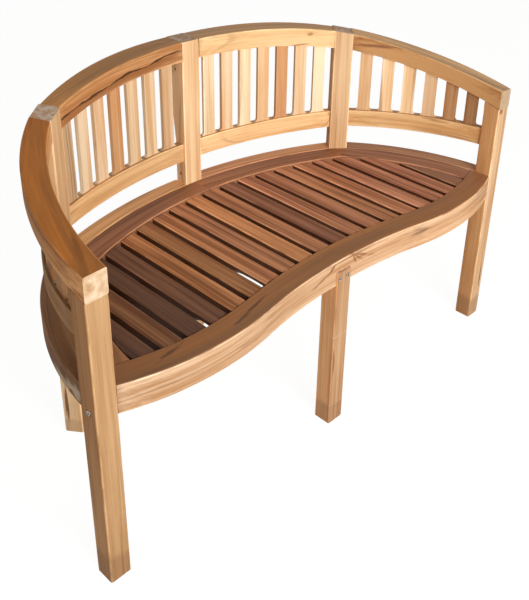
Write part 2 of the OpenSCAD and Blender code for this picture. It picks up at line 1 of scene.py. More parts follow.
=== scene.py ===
"""Teak garden sofa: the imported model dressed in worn, grained teak boards and steel bolts."""
import math
import random
from functools import partial

import bmesh
import bpy
from mathutils import Matrix, Vector
from mathutils.bvhtree import BVHTree


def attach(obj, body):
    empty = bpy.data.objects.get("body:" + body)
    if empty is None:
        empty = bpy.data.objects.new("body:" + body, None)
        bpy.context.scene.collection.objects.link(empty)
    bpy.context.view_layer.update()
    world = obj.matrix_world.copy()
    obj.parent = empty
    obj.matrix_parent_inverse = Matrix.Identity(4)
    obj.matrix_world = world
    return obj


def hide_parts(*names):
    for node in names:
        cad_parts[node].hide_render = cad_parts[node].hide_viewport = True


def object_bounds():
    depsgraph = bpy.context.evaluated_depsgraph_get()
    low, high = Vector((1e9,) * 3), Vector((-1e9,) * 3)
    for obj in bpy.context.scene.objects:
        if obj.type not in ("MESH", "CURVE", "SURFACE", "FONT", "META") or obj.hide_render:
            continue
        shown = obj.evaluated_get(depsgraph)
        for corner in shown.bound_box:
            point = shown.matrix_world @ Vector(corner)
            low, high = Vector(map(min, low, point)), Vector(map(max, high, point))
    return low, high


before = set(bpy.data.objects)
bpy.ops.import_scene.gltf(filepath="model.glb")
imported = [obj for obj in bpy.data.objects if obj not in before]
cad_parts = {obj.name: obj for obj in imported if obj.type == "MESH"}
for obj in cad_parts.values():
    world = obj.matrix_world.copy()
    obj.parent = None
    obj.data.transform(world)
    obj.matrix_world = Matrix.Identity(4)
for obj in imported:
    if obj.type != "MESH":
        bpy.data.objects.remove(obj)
cad_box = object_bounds()


# Legs
# Six square teak legs, sawn from straight planks with the grain running up them. The two front
# ones carry the arms, the middle front one stops under the seat, and the three back ones stand
# up into the top rail, with mortises where the rails go in.

def split_boards(bm):
    """The separate boards of a mesh, each as a list of its points."""
    left = set(bm.verts)
    found = []
    for start in bm.verts:
        if start not in left:
            continue
        left.discard(start)
        board, edge = [start], [start]
        while edge:
            for link in edge.pop().link_edges:
                for vert in link.verts:
                    if vert in left:
                        left.discard(vert)
                        board.append(vert)
                        edge.append(vert)
        found.append(board)
    return found


def cut_across(bm, point, normal):
    """New edges all round a mesh where a plane crosses it."""
    bmesh.ops.bisect_plane(bm, geom=bm.verts[:] + bm.edges[:] + bm.faces[:], dist=1e-5,
                           plane_co=point, plane_no=normal)


def places_in_plank(verts, turn, middle, follow, step=0.05):
    """Each point's place in its plank, less the share of a rail's bend that the grain follows."""
    seats = [turn @ (vert.co - middle) for vert in verts]
    first = min(seat.x for seat in seats)
    count = int((max(seat.x for seat in seats) - first) / step) + 2
    centres = []
    for number in range(count):
        near = [seat for seat in seats if abs(seat.x - first - number * step) < step * 0.6]
        centres.append(None if not near else Vector((
            0, (min(seat.y for seat in near) + max(seat.y for seat in near)) / 2,
            (min(seat.z for seat in near) + max(seat.z for seat in near)) / 2)))
    known = [number for number in range(count) if centres[number]]
    centres = [centre or centres[min(known, key=lambda at: abs(at - number))]
               for number, centre in enumerate(centres)]
    smooth = [(centres[max(number - 1, 0)] + centre * 2 + centres[min(number + 1, count - 1)]) / 4
              for number, centre in enumerate(centres)]
    places = []
    for seat in seats:
        at = (seat.x - first) / step
        before = min(int(at), count - 2)
        places.append(seat - smooth[before].lerp(smooth[before + 1], at - before) * follow)
    return places


def worn_boards(node, finish, along, tones, arris=0.0025, ends=False, follow=0.0,
                near=0.08, shape=None, heart=None, fade=0.0, seed=1):
    """Stands a worn copy of a CAD node's boards in its place, with what the teak finish reads.

    along is the way the grain runs, and follow the share in which it bends with a curved rail.
    tones has one (paleness, redness) for each board from left to right, and fade is how much
    paler they get in a metre to the right. arris is how wide the sharp edges are eased: those
    of a cut end only where ends is true, and none of a face that another covers nearer than
    near. shape is a function that changes the boards first. heart is the point that pieces from
    one log measure their grain from, which is otherwise each board's own middle."""
    same_point, end_facing, cut_length = 2e-5, 0.8, 0.05
    flat, sharp, crease = math.radians(0.2), math.radians(25), math.radians(35)
    bm = bmesh.new()
    bm.from_mesh(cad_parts[node].data)
    grain = bm.verts.layers.float_vector.new("grain")
    board_tone = bm.verts.layers.float_vector.new("board")
    place = bm.verts.layers.float_vector.new("place")
    worn_and_highlit_edge = bm.faces.layers.float.new("worn_and_highlit_edge")
    cut_end = bm.faces.layers.float.new("cut_end")
    bmesh.ops.remove_doubles(bm, verts=bm.verts, dist=same_point)
    bmesh.ops.dissolve_limit(bm, angle_limit=flat, verts=bm.verts, edges=bm.edges)
    along = Vector(along).normalized()
    if follow:
        runs = [vert.co.dot(along) for vert in bm.verts]
        for number in range(1, int((max(runs) - min(runs)) / cut_length)):
            cut_across(bm, along * (min(runs) + number * cut_length), along)
    if shape:
        shape(bm)

    bm.normal_update()
    tree = BVHTree.FromBMesh(bm)
    is_open = {}
    for face in bm.faces:
        start = face.calc_center_median() + face.normal * 1e-4
        is_open[face] = tree.ray_cast(start, face.normal, near)[0] is None
    chosen = []
    for edge in bm.edges:
        if len(edge.link_faces) != 2 or edge.calc_face_angle_signed() < sharp:
            continue
        if not all(is_open[face] for face in edge.link_faces):
            continue
        if not ends and any(abs(face.normal.dot(along)) > end_facing for face in edge.link_faces):
            continue
        chosen.append(edge)
    eased = bmesh.ops.bevel(bm, geom=chosen, offset=arris, offset_type="OFFSET", segments=3,
                            profile=0.5, affect="EDGES", material=-1, clamp_overlap=False)
    # The eased faces are marked for paler arrises, partly wear and partly painted highlight.
    for face in eased["faces"]:
        face[worn_and_highlit_edge] = 1.0
    for vert in bm.verts:
        vert.co = Vector([min(max(number, low), high)
                          for number, low, high in zip(vert.co, *cad_box)])
    bm.normal_update()
    for face in bm.faces:
        face.smooth = True
        face[cut_end] = 1.0 if abs(face.normal.dot(along)) > end_facing else 0.0

    side = Vector((0, 0, 1)).cross(along)
    side = side.normalized() if side.length > 0.1 else Vector((1, 0, 0))
    turn = Matrix((along, side, along.cross(side)))
    draw = random.Random(seed)
    boards = sorted(split_boards(bm),
                    key=lambda verts: sum(vert.co.x for vert in verts) / len(verts))
    for number, verts in enumerate(boards):
        middle = Vector(heart) if heart else sum((vert.co for vert in verts), Vector()) / len(verts)
        angle, reach = draw.uniform(0, 2 * math.pi), draw.uniform(0.05, 0.14)
        from_heart = Vector((draw.uniform(0, 9), reach * math.cos(angle), reach * math.sin(angle)))
        paleness, redness = tones[number % len(tones)]
        chance = draw.random()
        for vert, seat in zip(verts, places_in_plank(verts, turn, middle, follow)):
            vert[place] = seat
            vert[grain] = seat + from_heart
            vert[board_tone] = (paleness + fade * vert.co.x, redness, chance)
    mesh = bpy.data.meshes.new(node)
    bm.to_mesh(mesh)
    bm.free()
    mesh.set_sharp_from_angle(angle=crease)
    mesh.materials.append(finish)
    piece = bpy.data.objects.new("worn_" + node, mesh)
    bpy.context.collection.objects.link(piece)
    even = piece.modifiers.new("even shading", "WEIGHTED_NORMAL")
    even.keep_sharp = True
    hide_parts(node)
    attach(piece, "root")


class Wire:
    """A socket of a material's node tree that sums and products can be written with."""

    def __init__(self, tree, socket=None):
        self.tree = tree
        self.socket = socket

    def node(self, kind, settings, sockets, out=0):
        """A new node: its settings first, then the values or links of its sockets."""
        made = self.tree.nodes.new("ShaderNode" + kind)
        for name, value in settings.items():
            setattr(made, name, value)
        for name, value in sockets.items():
            if isinstance(value, Wire):
                self.tree.links.new(value.socket, made.inputs[name])
            elif made.inputs[name].type == "RGBA":
                made.inputs[name].default_value = (*value, 1)
            else:
                made.inputs[name].default_value = value
        return Wire(self.tree, made.outputs[out])

    def maths(self, operation, first, second=0.0):
        """Two numbers joined by a Math node."""
        return self.node("Math", {"operation": operation}, {0: first, 1: second})

    def __add__(self, other):
        return self.maths("ADD", self, other)

    __radd__ = __add__

    def __sub__(self, other):
        return self.maths("SUBTRACT", self, other)

    def __rsub__(self, other):
        return self.maths("SUBTRACT", other, self)

    def __mul__(self, other):
        return self.maths("MULTIPLY", self, other)

    __rmul__ = __mul__

    def __truediv__(self, other):
        return self.maths("DIVIDE", self, other)

    def __rtruediv__(self, other):
        return self.maths("DIVIDE", other, self)

    def __pow__(self, other):
        return self.maths("POWER", self, other)

    def __rpow__(self, other):
        return self.maths("POWER", other, self)

    def __abs__(self):
        return self.maths("ABSOLUTE", self)

    def held(self):
        """Kept between 0 and 1."""
        return self.node("Clamp", {}, {"Value": self})

    def step(self, low, high):
        """Rises smoothly from 0 at low to 1 at high."""
        return self.node("MapRange", {"interpolation_type": "SMOOTHSTEP"},
                         {"Value": self, "From Min": low, "From Max": high})

    def mixed(self, first, second):
        """Two colours mixed by this mask."""
        return self.node("Mix", {"data_type": "RGBA"}, {0: self, 6: first, 7: second}, 2)

    def tinted(self, colour):
        """This colour multiplied by another."""
        return self.node("Mix", {"data_type": "RGBA", "blend_type": "MULTIPLY"},
                         {0: 1.0, 6: self, 7: colour}, 2)

    def part(self, letter):
        """The X, Y or Z of this vector."""
        return self.node("SeparateXYZ", {}, {"Vector": self}, letter)

    def cloud(self, scale, detail=2.0, out=0):
        """Noise on this vector, whose spots are one over scale across."""
        stretched = self.node("Mapping", {}, {"Vector": self, "Scale": scale})
        return self.node("TexNoise", {}, {"Vector": stretched, "Scale": 1.0, "Detail": detail,
                                          "Roughness": 0.55}, out)


def teak(name, pale, deep, vein, figure=1.0, streak=1.0, ring=0.007, gloss=0.5, edge_wear_and_highlight=0.6,
         red=(1.0, 0.82, 0.66), front=None, stain=0.0, top_weather_and_light=0.0, top_weather_and_light_colour=None, painted_gap_shade=0.0,
         opened=None, marks=(), foot=0.0, end_pale=0.0):
    """Teak: uneven rings round the log's heart, streaks and pores along the grain, worn arrises.

    pale and deep are the colours between the rings and streaks, vein that of the dark lines and
    red the tint of a red board. figure and streak are the strengths of the rings and streaks,
    ring is the rings' distance, gloss is how smooth the wood is, and rub is how pale the
    arrises are, worn and with a painted highlight. front tints what faces forward, which is
    painted light and shade, and stain sets how many dark blots there are. weather is how far
    what faces up takes the colour given in weathered, which is weathering with painted light
    and shade on the tops, and grime darkens what doesn't face up, which is painted shade in the
    gaps and underneath. opened is a function that draws a split. marks has the middle, the reach,
    the turn in degrees and
    the colour of each knot, shake or scrape. foot is how high the damp has drawn up, and
    end_pale how pale the cut ends are. Distances are in metres, and the noises' scales are per
    metre, along the grain first."""
    material = bpy.data.materials.new(name)
    material.use_nodes = True
    tree = material.node_tree
    shader = tree.nodes["Principled BSDF"]
    start = Wire(tree)
    log = start.node("Attribute", {"attribute_name": "grain"}, {}, "Vector")
    board = start.node("Attribute", {"attribute_name": "board"}, {}, "Vector")
    worn_and_highlit_edge = start.node("Attribute", {"attribute_name": "worn_and_highlit_edge"}, {}, "Fac")
    cut_end = start.node("Attribute", {"attribute_name": "cut_end"}, {}, "Fac")
    facing = start.node("NewGeometry", {}, {}, "Normal")
    where = start.node("TexCoord", {}, {}, "Object")
    paleness, redness, chance = board.part("X"), board.part("Y"), board.part("Z")

    wander, slant = 0.04, 0.004
    bend = log.cloud((1.3, 5, 5), 1.0, "Color")
    out_y = log.part("Y") + (bend.part("X") - 0.5) * wander + log.part("X") * slant
    out_z = log.part("Z") + (bend.part("Y") - 0.5) * wander
    reach = (out_y * out_y + out_z * out_z) ** 0.5
    rings = start.node("CombineXYZ", {}, {0: reach / ring, 1: log.part("X") * 0.8, 2: chance * 40})
    growth = rings.cloud((0.45, 1, 1), 3.0)
    lines = rings.cloud((0.55, 0.5, 1.3), 1.0)
    bands = log.cloud((1.1, 60, 60), 3.0)
    streaks = log.cloud((3.5, 190, 190), 3.0)
    fibre = log.cloud((9, 520, 520), 3.0)
    pores = log.cloud((50, 1300, 1300), 1.0).step(0.66, 0.8)
    patches = log.cloud((2.6, 13, 13), 2.0)

    depth = (0.5 + (growth - 0.5) * 2.6 * figure + (bands - 0.5) * 1.9 * streak
             + (streaks - 0.5) * 1.7 * streak + (fibre - 0.5) * 0.7 + (patches - 0.5) * 1.4)
    wood = depth.held().mixed(pale, deep)
    wood = (redness + (patches - 0.5) * 0.6).held().mixed(wood, wood.tinted(red))
    veins = lines.step(0.60, 0.635) * (1.0 - lines.step(0.645, 0.67)) * patches.step(0.40, 0.60)
    dark = veins * 0.55 * figure + pores * 0.35 + streaks.step(0.62, 0.78) * 0.25
    wood = dark.held().mixed(wood, vein)
    strength = 2.0 ** paleness
    wood = wood.tinted(start.node("CombineXYZ", {}, {0: strength, 1: strength, 2: strength}))

    # Painted light and shade: what faces forward is tinted lighter or darker than the sides.
    if front:
        wood = (0.0 - facing.part("Y")).step(0.5, 0.9).mixed(wood, wood.tinted(front))
    if stain:
        blots = log.cloud((5, 26, 26), 3.0).step(0.70 - 0.12 * stain, 0.78 - 0.10 * stain)
        wood = (blots * 0.55).mixed(wood, vein)
    # Weathering and painted light and shade on the tops, darker or paler than the sides.
    if top_weather_and_light:
        shade = (0.8 + (growth - 0.5) * 1.1 * figure + (streaks - 0.5) * 0.9
                 + (bands - 0.5) * 0.9 + (patches - 0.5) * 0.9) * strength
        top_weather_and_light_wood = start.node("CombineXYZ", {}, {axis: shade * top_weather_and_light_colour[axis] for axis in range(3)})
        wood = (facing.part("Z").step(0.5, 0.9) * top_weather_and_light).mixed(wood, top_weather_and_light_wood)
    # Painted shade on what doesn't face up, in the gaps and underneath.
    if painted_gap_shade:
        wood = ((1.0 - facing.part("Z").step(0.1, 0.6)) * painted_gap_shade).mixed(wood, vein)
    if opened:
        wood = opened(wood, bands)
    jagged = (log.cloud((14, 200, 200), 3.0) - 0.5) * 2.0
    for middle, reach_out, turned, colour in marks:
        seat = start.node("Mapping", {"vector_type": "TEXTURE"}, {
            "Vector": where, "Location": middle, "Scale": reach_out,
            "Rotation": [math.radians(angle) for angle in turned]})
        off = start.node("VectorMath", {"operation": "LENGTH"}, {0: seat}, "Value")
        wood = ((1.0 - (off + jagged).step(0.35, 1.0)) * 0.85).mixed(wood, colour)
    if foot:
        damp = 1.0 - (where.part("Z") + (patches - 0.5) * 0.05).step(foot * 0.8, foot * 1.2)
        damp_brown = (deep[0] * 0.62, deep[1] * 0.66, deep[2] * 0.8)
        wood = (damp * (0.25 + streaks * 0.4)).mixed(wood, damp_brown)

    mottle = log.cloud((70, 70, 70), 3.0)
    end_cream = (pale[0] * 0.95, pale[1] * 1.28, pale[2] * 2.05)
    end_brown = (deep[0] * (0.72 + 0.27 * end_pale), deep[1] * (0.66 + 0.72 * end_pale),
                 deep[2] * (0.70 + 1.45 * end_pale))
    creamy = end_pale * 0.5 + (mottle - 0.5) * 2.6 + (growth - 0.5) * 0.8
    wood = (cut_end * 0.9).mixed(wood, creamy.held().mixed(end_brown, end_cream))
    # Paler arrises, partly wear and partly painted highlight, in patches along the eased edges.
    wear_and_glint_spots = log.cloud((14, 70, 70), 3.0).step(0.36, 0.56)
    wood = (worn_and_highlit_edge * wear_and_glint_spots * edge_wear_and_highlight).mixed(wood, wood.tinted((1.6, 1.75, 1.95)))
    tree.links.new(wood.socket, shader.inputs["Base Color"])

    rough = (0.68 - 0.22 * gloss + (fibre - 0.5) * 0.22 + pores * 0.12 + cut_end * 0.15
             + (growth - 0.5) * 0.2)
    tree.links.new(rough.held().socket, shader.inputs["Roughness"])
    height = growth * 0.5 + fibre * 0.6 - pores * 0.8 + streaks * 0.5
    bump = start.node("Bump", {}, {"Strength": 0.4, "Distance": 0.0008, "Height": height})
    tree.links.new(bump.socket, shader.inputs["Normal"])
    shader.inputs["Specular IOR Level"].default_value = 0.22
    return material


up, unturned = (0, 0, 1), (0, 0, 0)
shake, scrape = (0.10, 0.030, 0.012), (0.66, 0.46, 0.28)
leg_browns = (0.58, 0.32, 0.138), (0.365, 0.16, 0.057), (0.13, 0.052, 0.02)
# Each leg's front tint is painted light and shade, setting how light its forward faces are.
left_leg_teak = teak("left leg teak", *leg_browns, figure=0.6, streak=0.45, foot=0.06,
                     front=(1.0, 1.12, 1.25))
right_leg_teak = teak(
    "right leg teak", *leg_browns, figure=0.8, streak=0.5, foot=0.06, front=(1.18, 1.47, 2.0),
    marks=(((0.609, -0.256, 0.125), (0.0035, 0.006, 0.06), unturned, shake),
           ((0.588, -0.256, 0.62), (0.014, 0.006, 0.010), unturned, (0.30, 0.13, 0.05))))
# Its end_pale makes the ear's cut top paler, partly as painted light that evens it with the front.
middle_leg_teak = teak(
    "middle leg teak", (0.74, 0.418, 0.20), (0.46, 0.203, 0.079), (0.15, 0.062, 0.026),
    figure=1.2, streak=0.8, edge_wear_and_highlight=0.3, foot=0.05, front=(0.74, 0.83, 0.95), end_pale=0.85,
    marks=(((-0.022, -0.261, 0.246), (0.060, 0.060, 0.0012), unturned, scrape),
           ((-0.022, -0.261, 0.052), (0.060, 0.060, 0.0012), unturned, scrape),
           ((-0.018, -0.261, 0.17), (0.0035, 0.006, 0.045), unturned, (0.26, 0.10, 0.04))))
post_teak = teak(
    "back leg teak", (0.93, 0.66, 0.385), (0.68, 0.39, 0.18), (0.28, 0.12, 0.05), figure=0.8,
    streak=0.5, top_weather_and_light=0.7, top_weather_and_light_colour=(0.42, 0.24, 0.14), foot=0.03, end_pale=0.3,
    marks=(((-0.458, 0.139, 0.085), (0.0035, 0.008, 0.06), unturned, shake),
           ((-0.449, 0.133, 0.060), (0.0028, 0.008, 0.05), unturned, shake)))
for node, finish, tone, seed in (
        ("leg_front_left", left_leg_teak, (-0.08, 0.1), 11),
        # The right front leg is paler partly as painted light, against the light falling off there.
        ("leg_front_right", right_leg_teak, (0.4, 0.0), 12),
        ("leg_front_middle", middle_leg_teak, (0.2, 0.1), 13),
        ("leg_back_left", post_teak, (-0.15, 0.1), 14),
        ("leg_back_middle", post_teak, (0.15, 0.0), 15),
        ("leg_back_right", post_teak, (-0.1, 0.2), 16)):
    worn_boards(node, finish, up, [tone], arris=0.003, seed=seed)


# Front rail
# One deep, wavy teak rail in two halves, sawn from thick planks and joined behind the middle
# front leg. Both come from one log, and dark streaks fan out where a branch grew by the joint.

heart_brown, fan_brown = (0.12, 0.056, 0.028), (0.26, 0.095, 0.034)
front_teak = teak(
    "front rail teak", (0.71, 0.47, 0.29), (0.42, 0.22, 0.10), (0.10, 0.045, 0.025),
    streak=0.8, edge_wear_and_highlight=1.0, stain=0.45, top_weather_and_light=0.9, top_weather_and_light_colour=(0.335, 0.144, 0.054),
    marks=(((-0.462, -0.250, 0.443), (0.045, 0.005, 0.008), (0, 0, 10), heart_brown),
           ((-0.300, -0.264, 0.443), (0.038, 0.005, 0.008), (0, 0, 13), heart_brown),
           ((-0.255, -0.250, 0.443), (0.045, 0.005, 0.008), (0, 0, 15), heart_brown),
           ((0.060, -0.258, 0.428), (0.046, 0.02, 0.0055), (0, 20, 0), fan_brown),
           ((0.046, -0.257, 0.428), (0.029, 0.02, 0.0055), (0, 36, 0), fan_brown),
           ((0.036, -0.257, 0.428), (0.020, 0.02, 0.0050), (0, 63, 0), fan_brown),
           ((-0.034, -0.256, 0.432), (0.022, 0.02, 0.0052), (0, -40, 0), fan_brown),
           ((-0.074, -0.258, 0.416), (0.044, 0.02, 0.0050), (0, -13, 0), fan_brown)))
lengthwise = (1, 0, 0)
for node in ("seat_front_rail_left", "seat_front_rail_right"):
    worn_boards(node, front_teak, lengthwise, [(0.2, 0.05)], arris=0.003,
                follow=0.8, near=0.001, heart=(0, -0.22, 0.42), fade=0.5, seed=21)


# Seat ring
# Four curved teak rails from leg to leg behind the seat. Each is band-sawn from a straight
# plank, and the left one has chalky marks outside.

side_left, back_left = (178, 387, 0), (422, 103, 0)
side_right, back_right = (178, -387, 0), (422, -103, 0)
chalk = (0.66, 0.52, 0.38)
ring_teak = teak(
    "ring teak", (0.62, 0.335, 0.145), (0.37, 0.174, 0.067), (0.13, 0.055, 0.028),
    red=(0.95, 0.88, 1.1),
    marks=(((-0.606, -0.126, 0.402), (0.020, 0.060, 0.010), unturned, chalk),
           ((-0.618, -0.190, 0.412), (0.020, 0.045, 0.016), unturned, chalk)))
for node, way, tone, seed in (
        # The left one is darker partly in its wood and partly as painted shade on the left side.
        ("seat_ring_side_left", side_left, (-0.7, 0.3), 31),
        ("seat_ring_back_left", back_left, (0.75, 0.0), 32),
        ("seat_ring_back_right", back_right, (0.85, 0.7), 33),
        ("seat_ring_side_right", side_right, (0.1, 0.8), 34)):
    worn_boards(node, ring_teak, way, [tone], follow=0.7, seed=seed)


# Bearer and ledgers
# A flat bearer from side to side carries the slats half way, and ledgers screwed inside the
# ring and the front rail carry their ends. They are plain sawn teak, seen only from below.

under_teak = teak("ledger teak", (0.52, 0.32, 0.17), (0.34, 0.18, 0.09), (0.13, 0.065, 0.035),
                  gloss=0.2)
for seed, (node, way) in enumerate((
        ("cross_bearer", lengthwise), ("ledger_side_left", side_left),
        ("ledger_back_left", back_left), ("ledger_back_right", back_right),
        ("ledger_side_right", side_right), ("ledger_front_left", lengthwise),
        ("ledger_front_right", lengthwise)), 41):
    worn_boards(node, under_teak, way, [(0, 0.2)], arris=0.0015, seed=seed)


# Seat slats
# Nineteen teak slats run from the front rail to the border behind, lying on the ledgers. They
# are darker and redder than the frame, and no two have the same colour. Two of them keep a
# waney edge underneath, which lets the floor show through.

def leave_waney_edge(bm, first, last, rise, inward):
    """Leaves a slat's lower left edge round, as in the tree, between two places from front to back.

    rise and inward are how far it is off the square edge, up and in, half way along."""
    narrow, touching, cuts = 0.005, 1e-5, 12
    for number in range(cuts + 1):
        cut_across(bm, (0, first + (last - first) * number / cuts, 0), (0, 1, 0))
    left, low = min(vert.co.x for vert in bm.verts), min(vert.co.z for vert in bm.verts)
    corner = [edge for edge in bm.edges
              if all(vert.co.x < left + touching and vert.co.z < low + touching
                     for vert in edge.verts)]
    cut = bmesh.ops.bevel(bm, geom=corner, offset=narrow, offset_type="OFFSET", segments=1,
                          profile=0.5, affect="EDGES", material=-1, clamp_overlap=False)
    for vert in {vert for face in cut["faces"] for vert in face.verts}:
        share = min(max((vert.co.y - first) / (last - first), 0.0), 1.0)
        swell = math.sin(math.pi * share) ** 0.25
        if vert.co.z > low + touching:
            vert.co.z += (rise - narrow) * swell
        else:
            vert.co.x += (inward - narrow) * swell


# Its vein colour is also that of the painted shade on the slats' sides in the gaps.
seat_teak = teak("seat slat teak", (0.53, 0.248, 0.103), (0.25, 0.094, 0.034),
                 (0.050, 0.015, 0.005), streak=1.3, gloss=0.7, edge_wear_and_highlight=1.0, red=(0.93, 0.90, 1.22),
                 painted_gap_shade=0.85)
# The first four slats, by the left arm, are darker partly in their wood and partly as painted
# shade.
seat_tones = [
    (-1.5, 0.9), (-0.7, 0.2), (-1.8, 0.9), (-1.1, 0.9), (0.4, 0.0), (-0.1, 0.0), (0.55, 0.3),
    (0.3, 0.6), (0.65, 0.2), (0.35, 0.6), (-0.25, 1.0), (0.6, 0.8), (0.35, 0.9), (0.4, 0.5),
    (0.65, 0.7), (0.6, 1.2), (0.55, 1.0), (0.55, 1.3), (-0.5, 0.6)]
waney_edges = {
    4: partial(leave_waney_edge, first=-0.240, last=-0.186, rise=0.0125, inward=0.0120),
    7: partial(leave_waney_edge, first=-0.222, last=-0.112, rise=0.0150, inward=0.0140)}
for number, tone in enumerate(seat_tones, 1):
    worn_boards(f"seat_slat_{number}", seat_teak, (0, 1, 0), [tone],
                arris=0.0022, ends=True, near=0.001, shape=waney_edges.get(number),
                seed=50 + number)


# Seat border
# Thin curved teak boards lie on the ring's inner edge round the back of the seat, against the
# ends of the slats, with a pale line where they meet the ring, partly wear and partly painted
# highlight.

border_teak = teak("border teak", (0.44, 0.205, 0.085), (0.25, 0.105, 0.042),
                   (0.10, 0.042, 0.022), edge_wear_and_highlight=1.0, red=(0.95, 0.90, 1.2))
for node, way, tone, seed in (
        ("border_side_left", side_left, (-0.1, 0.3), 71),
        ("border_back_left", back_left, (0.0, 0.5), 72),
        ("border_back_right", back_right, (0.2, 0.5), 73),
        ("border_side_right", side_right, (0.1, 0.6), 74)):
    worn_boards(node, border_teak, way, [tone], follow=0.7, near=0.001, seed=seed)


# Lower rails
# Four light curved teak rails between the legs, above the seat, which hold the slats' lower
# ends. They have a few small knots, and the right back top rail is of the same wood.

knot = (0.46, 0.21, 0.09)
back_teak = teak(
    "back rail teak", (0.95, 0.64, 0.33), (0.70, 0.38, 0.15), (0.28, 0.11, 0.04), top_weather_and_light=0.8,
    top_weather_and_light_colour=(0.64, 0.34, 0.145),
    marks=(((0.336, 0.170, 0.770), (0.012, 0.02, 0.005), unturned, knot),
           ((0.300, 0.185, 0.745), (0.050, 0.03, 0.003), unturned, knot),
           ((0.556, -0.080, 0.553), (0.030, 0.05, 0.005), unturned, knot)))
for node, slot, way, tone, seed in (
        # The left one is darker and redder partly in its wood and partly as painted shade on that
        # side.
        ("lower_rail_side_left", "side_rail_teak", side_left, (-1.0, 1.2), 81),
        ("lower_rail_back_left", "back_rail_teak", back_left, (-0.1, 0.3), 82),
        ("lower_rail_back_right", "back_rail_teak", back_right, (0.22, -0.2), 83),
        ("lower_rail_side_right", "side_rail_teak", side_right, (0.0, 0.1), 84)):
    worn_boards(node, back_teak, way, [tone], follow=0.7, seed=seed)


# Back slats
# Thin upright teak slats, let into the lower and top rails all the way round the back, with
# round ends to the openings between them. The ones behind the middle are the palest.

def round_shoulders(bm, rails, radius=0.0095):
    """Widens each upright slat into its rails in hollow curves, as the openings' ends are round."""
    sunk, touching, steps = 0.0004, 1e-5, (0.0, 0.12, 0.3, 0.55, 1.0)
    trees = []
    for node in rails:
        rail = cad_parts[node].data
        trees.append(BVHTree.FromPolygons([vert.co for vert in rail.vertices],
                                          [face.vertices for face in rail.polygons]))
    for board in split_boards(bm):
        middle = sum((vert.co for vert in board), Vector()) / len(board)
        level = [edge for vert in board for edge in vert.link_edges
                 if abs(edge.verts[0].co.z - edge.verts[1].co.z) < 1e-4]
        widest = max(level, key=lambda edge: edge.calc_length())
        across = (widest.verts[1].co - widest.verts[0].co).normalized()
        half = max((vert.co - middle).dot(across) for vert in board)
        for hand, way in ((1, 1), (1, -1), (-1, 1), (-1, -1)):
            beside = middle + across * hand * (half + radius)
            hits = [tree.ray_cast(beside, Vector((0, 0, way)))[0] for tree in trees]
            end = min((hit.z for hit in hits if hit), key=lambda z: abs(z - beside.z))
            end += way * sunk
            for share in steps:
                own = set(board)
                edges = {edge for vert in own for edge in vert.link_edges}
                faces = {face for vert in own for face in vert.link_faces}
                cut = bmesh.ops.bisect_plane(
                    bm, geom=list(own) + list(edges) + list(faces), dist=1e-6,
                    plane_co=(0, 0, end - way * radius * share), plane_no=(0, 0, 1))
                board = list(own | {item for item in cut["geom"]
                                    if isinstance(item, bmesh.types.BMVert)})
            for vert in board:
                off = (end - vert.co.z) * way
                on_side = (vert.co - middle).dot(across) * hand > half - touching
                if on_side and -touching <= off < radius:
                    left = radius - max(off, 0.0)
                    vert.co += across * hand * (radius - math.sqrt(radius ** 2 - left ** 2))


slat_teak = teak("back slat teak", (0.90, 0.73, 0.50), (0.70, 0.455, 0.23),
                 (0.26, 0.11, 0.045), figure=1.1, streak=0.7, red=(0.98, 0.66, 0.46))
slat_tones = {
    # The left side's slats are darker and redder partly in their wood and partly as painted shade.
    "side_slats_left": [
        (-0.7, 1.2), (-0.6, 1.0), (-0.8, 1.2), (-0.5, 0.9), (-0.6, 1.2), (-0.4, 0.8)],
    "back_slats_left": [
        (-0.35, 0.3), (0.0, 0.3), (0.0, 0.4), (-0.15, 0.8), (0.05, 0.2), (0.05, 0.1), (-0.1, 0.4)],
    "back_slats_right": [
        (0.22, 0.0), (0.2, 0.2), (0.35, -0.2), (0.28, 0.15), (-0.2, 1.1), (0.22, 0.1), (0.28, 0.0)],
    "side_slats_right": [
        (0.15, 0.2), (0.4, 0.0), (0.4, -0.8), (-0.05, 0.5), (-0.65, 1.7), (-1.05, 1.7)]}
for seed, (node, tones) in enumerate(slat_tones.items(), 91):
    bay = node.replace("_slats", "")
    rails = ("lower_rail_" + bay, "top_rail_" + bay)
    worn_boards(node, slat_teak, up, tones, arris=0.0015,
                shape=partial(round_shoulders, rails=rails), seed=seed)


# Top rails
# Four thick teak rails, sawn to the curve of the back and arms, close the back from arm end to
# arm end. Their crown rises to the middle of the back, and they meet over the back legs. The
# left back one has a long split, and the left arm a dark streak of heartwood.

def open_split(wood, bands):
    """Draws a long, wavy split on a rail's face, with brown heartwood below it."""
    height, slope, waves, swing = -0.004, 0.05, 9.0, 0.030
    middle, reach, width, brown_reach = -0.02, 0.24, 0.0048, 0.028
    place = wood.node("Attribute", {"attribute_name": "place"}, {}, "Vector")
    run = place.part("X")
    wobble = wood.node("CombineXYZ", {}, {0: run * waves, 1: 3.0}).cloud((1, 1, 1), 3.0)
    off = place.part("Z") - height - run * slope - (wobble - 0.5) * swing
    within = 1.0 - abs(run - middle).step(reach * 0.75, reach)
    below = (1.0 - off.step(-0.001, 0.001)) * off.step(-brown_reach, brown_reach * -0.3) * within
    wood = (below * (0.35 + bands * 0.7)).held().mixed(wood, (0.31, 0.1144, 0.03465))
    gape = wood.node("CombineXYZ", {}, {0: run * 18, 1: 8.0}).cloud((1, 1, 1), 2.0)
    away = abs(off) / (gape.step(0.3, 0.7) * 0.8 + 0.2)
    crack = (1.0 - away.step(width * 0.35, width)) * within
    return (crack * 0.92).mixed(wood, (0.06, 0.02025, 0.0081))


